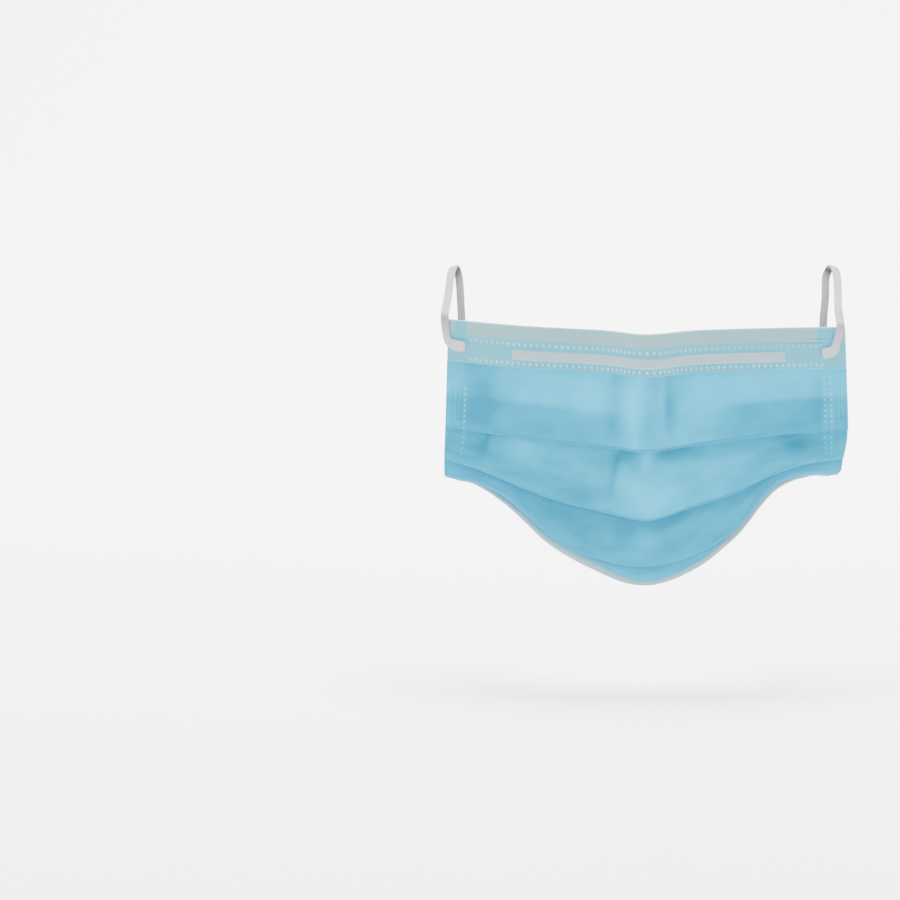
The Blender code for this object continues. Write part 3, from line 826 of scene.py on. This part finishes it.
def lowestPlace(across):
    # The lowest place of a column as the camera's height sees it
    tilt = math.radians(camera["elevation"])
    places = [hemRow - share for share in np.linspace(0, hem["searchUp"], hem["searchSteps"] + 1)]
    spots = [smoothSheet(across, down) for down in places]
    heights = [spot.z * math.cos(tilt) + spot.y * math.sin(tilt) for spot in spots]
    return places[heights.index(min(heights))]


def makeHem(material):
    columns = [float(share) for share in np.linspace(-1, 1, hem["columns"] + 1)]
    front, behind, even = hem["front"], -hem["behind"], hem["even"]
    turn = halfTurn(hem["turnSteps"])[1:-1]
    back = np.linspace(0, hem["back"], hem["backRows"])
    face, under = hem["face"], hem["under"]
    found = [lowestPlace(across) for across in columns]
    lows = [float(np.mean(found[max(index - even, 0):index + even + 1])) for index in range(len(found))]
    rims = [float(np.interp(across, hem["across"], hem["rim"])) for across in columns]
    tops = [walk(across, low, -rim) for across, low, rim in zip(columns, lows, rims)]

    def place(column, row):
        across, top, low = columns[column], tops[column], lows[column]
        flat = (across * mask["halfWidth"], -row * hem["flatStep"])
        hang, rim = 0.0, 1.0
        if row <= face:
            # The face comes out of the lowest panel's surface and hangs a little below it
            share = row / face
            down = mix(top, low, share)
            outwards = softStep(share * hem["surfaced"])
            lift = plyOffset(across, down, len(pleats)) + mix(-hem["sunk"], front, outwards)
            hang, rim = hem["hang"] * share, clamp(row / hem["fadeRows"])
        elif row <= face + under:
            share = (row - face) / under
            down = mix(low, hemRow, share)
            lift = front + plyOffset(across, down, len(pleats))
            hang = hem["hang"] * (1 - share)
        elif row <= face + under + len(turn):
            angle = turn[row - face - under - 1]
            down = walk(across, hemRow, hem["behind"] * math.sin(angle))
            lift = mix(front, behind, (1 - math.cos(angle)) / 2) + plyOffset(across, hemRow, len(pleats))
        else:
            down = walk(across, hemRow, -back[row - face - under - len(turn) - 1])
            lift = behind + plyOffset(across, down, len(pleats))
        return onSheet(across, down, lift) - Vector((0, 0, hang)), flat, (rim,)

    rows = face + under + len(turn) + len(back)
    piece = makeGrid("bottom_hem", rows, len(columns) - 1, place, ("rim",), material)
    addWall(piece, hem["thickness"], 0)
    return piece


def makeWire(material):
    ends = [(wire["shift"] + sign * wire["length"] / 2) / mask["halfWidth"] for sign in (-1, 1)]
    columns = [float(share) for share in np.linspace(*ends, wire["columns"] + 1)]

    def place(column, row):
        across = columns[column]
        distance = mask["edgeRise"] + (row / wire["rows"] - 0.5) * wire["width"]
        return onSheet(across, walk(across, 0, distance), wire["offset"]), (across, distance), ()

    piece = makeGrid("nose_strip_wire", wire["rows"], len(columns) - 1, place, (), material)
    addWall(piece, wire["thickness"], 0)
    return piece


loops = {
    "weldDrop": 0.0088, "leftWeld": 0.0080, "rightWeld": 0.0106, "leftStrand": -0.0017, "rightStrand": 0.0021,
    "leftLean": 0.0010, "rightLean": 0.0020, "lowerWeld": 0.0024, "lowerInset": 0.0050, "lowerRise": 0.0010,
    "edgeLift": 0.0004, "overBack": 0.0014, "overRise": 0.0027, "reach": 0.0600, "rise": 0.0185,
    "landing": 0.0036, "landingRow": 0.1,   # how far off the sheet it comes down behind the corner, past the hem's row
}
# Above the weld, as a share of its length from the strand and a rise: its inner end, its middle, the turn from the
# strand, and the strand
weldPoints = ((1.00, -0.0006), (0.50, -0.0003), (0.14, 0.0007), (0.00, 0.0030))
# back, rise, and how far the left and the right loop lie towards +X, as shares of the loop's reach and rise, and how
# far the band rolls outwards
loopPoints = (
    (0.12, 0.27, -0.021, -0.029, 0.00),
    (0.45, 0.44, -0.005, 0.005, 0.05),
    (0.82, 0.82, 0.015, 0.037, 0.20),
    (1.00, 0.95, 0.040, 0.027, 0.34),
    (1.00, 0.74, 0.067, -0.013, 0.20),
    (0.82, 0.30, 0.079, -0.037, 0.00),
    (0.63, -0.30, 0.085, -0.069, 0.00),
    (0.42, -1.50, 0.075, -0.075, 0.00),
)


def loopRoute(side):
    sign = -1 if side == "left" else 1
    weld, strand = loops[side + "Weld"], loops[side + "Strand"]
    turn = strand + loops[side + "Lean"]

    def lieOnSheet(inset, down, lift=0.0):
        # Where the inset is negative, the band lies past the side edge, in line with the sheet
        nearEdge = 0.98 * sign
        across = sign * (1 - max(inset, 0) / mask["halfWidth"])
        edge = (onSheet(sign, down) - onSheet(nearEdge, down)).normalized()
        return onSheet(across, down, elastic["offset"] + lift) - edge * min(inset, 0), outward(across, down)

    top = [lieOnSheet(mix(turn, weld, share), walk(sign, 0, loops["weldDrop"] - rise)) for share, rise in weldPoints]
    crossing, face = lieOnSheet(strand, 0, loops["edgeLift"])
    top.append((crossing, (face + Vector((0, -1, 0))).normalized()))
    corner = onSheet(sign, 0)
    free = [Vector((crossing.x, crossing.y + loops["overBack"], corner.z + loops["overRise"]))]
    rolls = [0.0]
    for back, rise, left, right, roll in loopPoints:
        rolls.append(sign * roll)
        aside = left if side == "left" else right
        free.append(Vector((
            corner.x + aside * loops["reach"],
            corner.y + back * loops["reach"],
            mask["edgeRise"] + rise * loops["rise"],
        )))
    across = sign * (1 - loops["lowerInset"] / mask["halfWidth"])
    landing = onSheet(across, hemRow + loops["landingRow"], loops["landing"])
    line = [crossing, *free, landing]
    middle = []
    for before, point, after, roll in zip(line, free, line[2:], rolls):
        face = Vector((1, 0, 0)).cross(after - before).normalized()
        middle.append((point, (face + Vector((roll, 0, 0))).normalized()))
    middle.append((landing, outward(across, hemRow)))
    rises = (loops["lowerRise"], loops["lowerRise"] + loops["lowerWeld"])
    return top + middle + [lieOnSheet(loops["lowerInset"], walk(across, hemRow, -rise)) for rise in rises]


def alongRoute(route, steps):
    fine = 16
    places = [index / fine for index in range((len(route) - 1) * fine + 1)]
    points, faces = (
        [Vector([smoothRead([spot[part][axis] for spot in route], place) for axis in range(3)]) for place in places]
        for part in (0, 1)
    )
    length = [0]
    for before, after in zip(points, points[1:]):
        length.append(length[-1] + (after - before).length)
    even = np.linspace(0, length[-1], steps + 1)

    def read(values):
        return [Vector([np.interp(spot, length, [value[axis] for value in values]) for axis in range(3)])
                for spot in even]

    return read(points), read(faces), length[-1]


def makeEarLoop(side, front, back):
    steps = elastic["steps"]
    points, faces, length = alongRoute(loopRoute(side), steps)

    def place(column, row):
        before, after = points[max(row - 1, 0)], points[min(row + 1, steps)]
        across = faces[row].cross(after - before).normalized()
        share = column / elastic["across"] - 0.5
        distance = row * length / steps
        free = distance - elastic["weldLength"]
        aside = share * mix(elastic["width"], elastic["weldWidth"], 1 - softStep(free / elastic["weldFade"]))
        nearEnd = max(0.0, 1 - distance / elastic["roundingFade"])
        rounding = (abs(2 * share) ** 4) * elastic["weldRounding"] * nearEnd
        spot = points[row] + across * aside + (after - before).normalized() * rounding
        return spot, (aside, distance), (1 - softStep(free / elastic["lighterFade"]),)

    piece = makeGrid(f"elastic_loop_{side}", steps, elastic["across"], place, ("pressed",), front)
    # The wall's other face takes the second material, the band's inner face with painted shade
    piece.data.materials.append(back)
    wall = addWall(piece, elastic["thickness"], 0)
    wall.material_offset = 1
    edge = piece.modifiers.new("Soft edge", "BEVEL")
    edge.width = elastic["thickness"] * elastic["edgeRounding"]
    edge.segments = 2
    edge.limit_method = "ANGLE"
    edge.angle_limit = math.radians(elastic["edgeAngle"])
    print(f"ear loop {side}: {length * 1000:.0f} mm")
    return piece


# Studio: pale floor that sweeps up behind, soft light from the upper left in front
studio = {
    "floorHeight": -0.125, "halfWidth": 2.5, "near": -1.5, "far": 1.6, "sweepRadius": 0.8, "sweepSteps": 12,
    "wallHeight": 2.6, "floorColour": "f2f2f1", "worldColour": "ffffff", "worldStrength": 0.26,
}


def makeFloor():
    profile = [(studio["near"], 0.0), (studio["far"], 0.0)]
    radius = studio["sweepRadius"]
    for share in np.linspace(0, math.pi / 2, studio["sweepSteps"] + 1)[1:]:
        profile.append((studio["far"] + radius * math.sin(share), radius * (1 - math.cos(share))))
    profile.append((studio["far"] + radius, studio["wallHeight"]))
    grid = bmesh.new()
    bmesh.ops.create_grid(grid, x_segments=1, y_segments=len(profile) - 1, size=1)
    for vertex in grid.verts:
        row = round((vertex.co.y + 1) / 2 * (len(profile) - 1))
        y, z = profile[row]
        vertex.co = (vertex.co.x * studio["halfWidth"], y, z + studio["floorHeight"])
    mesh = bpy.data.meshes.new("studio_floor")
    grid.to_mesh(mesh)
    grid.free()
    mesh.shade_smooth()
    floor = bpy.data.objects.new("studio_floor", mesh)
    bpy.context.scene.collection.objects.link(floor)
    material, _, shader = newMaterial("matt white studio paper", 0.95)
    shader.inputs["Base Color"].default_value = linear(studio["floorColour"])
    mesh.materials.append(material)


lamps = (
    # name, place, what it points at, diameter, watts
    ("key", (-1.00, -1.30, 1.15), (0.0, 0.02, -0.03), 0.9, 16.0),
    ("fill", (1.15, -1.40, 0.35), (0.0, 0.02, -0.03), 1.3, 8.5),
    ("backdrop", (0.0, 0.70, 2.30), (0.0, 1.70, 0.10), 2.2, 520.0),
)


def makeLights():
    for name, place, target, size, watts in lamps:
        light = bpy.data.lights.new(name, "AREA")
        light.shape = "DISK"
        light.size = size
        light.energy = watts
        lamp = bpy.data.objects.new(name, light)
        lamp.location = place
        lamp.rotation_euler = (Vector(target) - Vector(place)).to_track_quat("-Z", "Y").to_euler()
        bpy.context.scene.collection.objects.link(lamp)
    world = bpy.data.worlds.new("studio")
    world.use_nodes = True
    background = world.node_tree.nodes["Background"]
    background.inputs["Color"].default_value = linear(studio["worldColour"])
    background.inputs["Strength"].default_value = studio["worldStrength"]
    bpy.context.scene.world = world


# The lens and the sensor are in millimetres; it aims past the mask's left side, so that the mask stands on the right
camera = {
    "elevation": 7.5, "distance": 1.25, "lens": 135.0, "sensor": 36, "clipStart": 0.05,
    "aimX": -0.07296, "aimUp": -0.03185,
}


def makeCamera():
    tilt = math.radians(camera["elevation"])
    up = Vector((0, math.sin(tilt), math.cos(tilt)))
    ahead = Vector((0, math.cos(tilt), -math.sin(tilt)))
    lens = bpy.data.cameras.new("camera")
    lens.lens = camera["lens"]
    lens.sensor_width = camera["sensor"]
    lens.clip_start = camera["clipStart"]
    eye = bpy.data.objects.new("camera", lens)
    eye.location = Vector((camera["aimX"], 0, 0)) + up * camera["aimUp"] - ahead * camera["distance"]
    eye.rotation_euler = (math.pi / 2 - tilt, 0, 0)
    bpy.context.scene.collection.objects.link(eye)
    bpy.context.scene.camera = eye


outerPly = makePanel("blue_outer_ply", blueSpunbond(), panelCloth, 1)
finishPiece(outerPly, ("filter_panel",))
print("blue outer ply made")
innerPly = makePanel("white_inner_ply", liningSpunbond(), liningSettings, -1)
finishPiece(innerPly, ("filter_panel",))
print("white inner ply made")
strip = makeTopStrip(stripSpunbond())
finishPiece(strip, ("top_binding",))
print("top strip made")
hemPiece = makeHem(hemSpunbond())
finishPiece(hemPiece, ("bottom_binding",))
wirePiece = makeWire(coatedWire())
finishPiece(wirePiece, ("nose_wire",))
print("hem and wire made")
knitFront = knittedElastic("knitted spandex elastic", elastic["base"], elastic["valley"])
# The inner face is the same knit painted darker: painted shade for the rear strand
shadedKnitBack = knittedElastic("knitted elastic back with painted shade", elastic["back"], elastic["shadedBackValley"])
for side in ("left", "right"):
    finishPiece(makeEarLoop(side, knitFront, shadedKnitBack), (f"ear_loop_{side}",))
print("ear loops made")

makeFloor()
makeLights()
makeCamera()
print("studio made")
